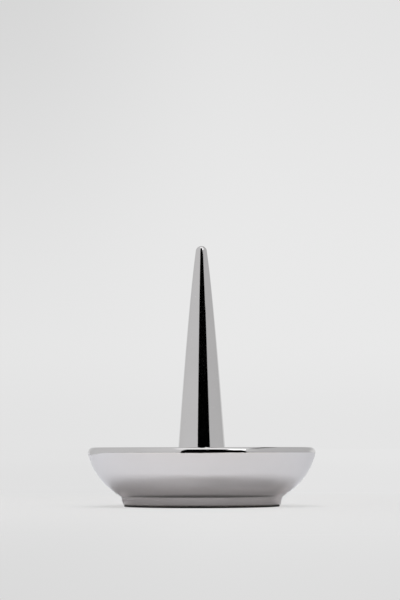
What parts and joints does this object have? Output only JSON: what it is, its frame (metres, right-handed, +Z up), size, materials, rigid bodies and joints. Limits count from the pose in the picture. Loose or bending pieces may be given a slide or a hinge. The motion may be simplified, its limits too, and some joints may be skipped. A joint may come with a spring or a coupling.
{
  "type": "ring display stand",
  "caption": "Polished metal ring stand: a tapered round-nosed cone screwed upright in a shallow dish with a rounded lip and a low foot on a felt pad.",
  "frame": {"origin": "middle of the felt pad's underside, on the surface that the stand rests on", "axes": "+Z up along the axis that the dish and the cone are turned about; X and Y are equal by symmetry"},
  "size_m": [0.1, 0.1, 0.1146],
  "materials": {
    "cast_metal": "mirror polished casting",
    "plated_steel": "zinc plated",
    "felt": "pressed felt",
    "adhesive": "double-sided film"
  },
  "bodies": {
    "root": {"base_pad": "felt", "pad_adhesive": "adhesive", "dish": "cast_metal", "flat_washer": "plated_steel", "lock_washer": "plated_steel", "fixing_screw": "plated_steel", "ring_cone": "cast_metal"}
  },
  "joints": []
}
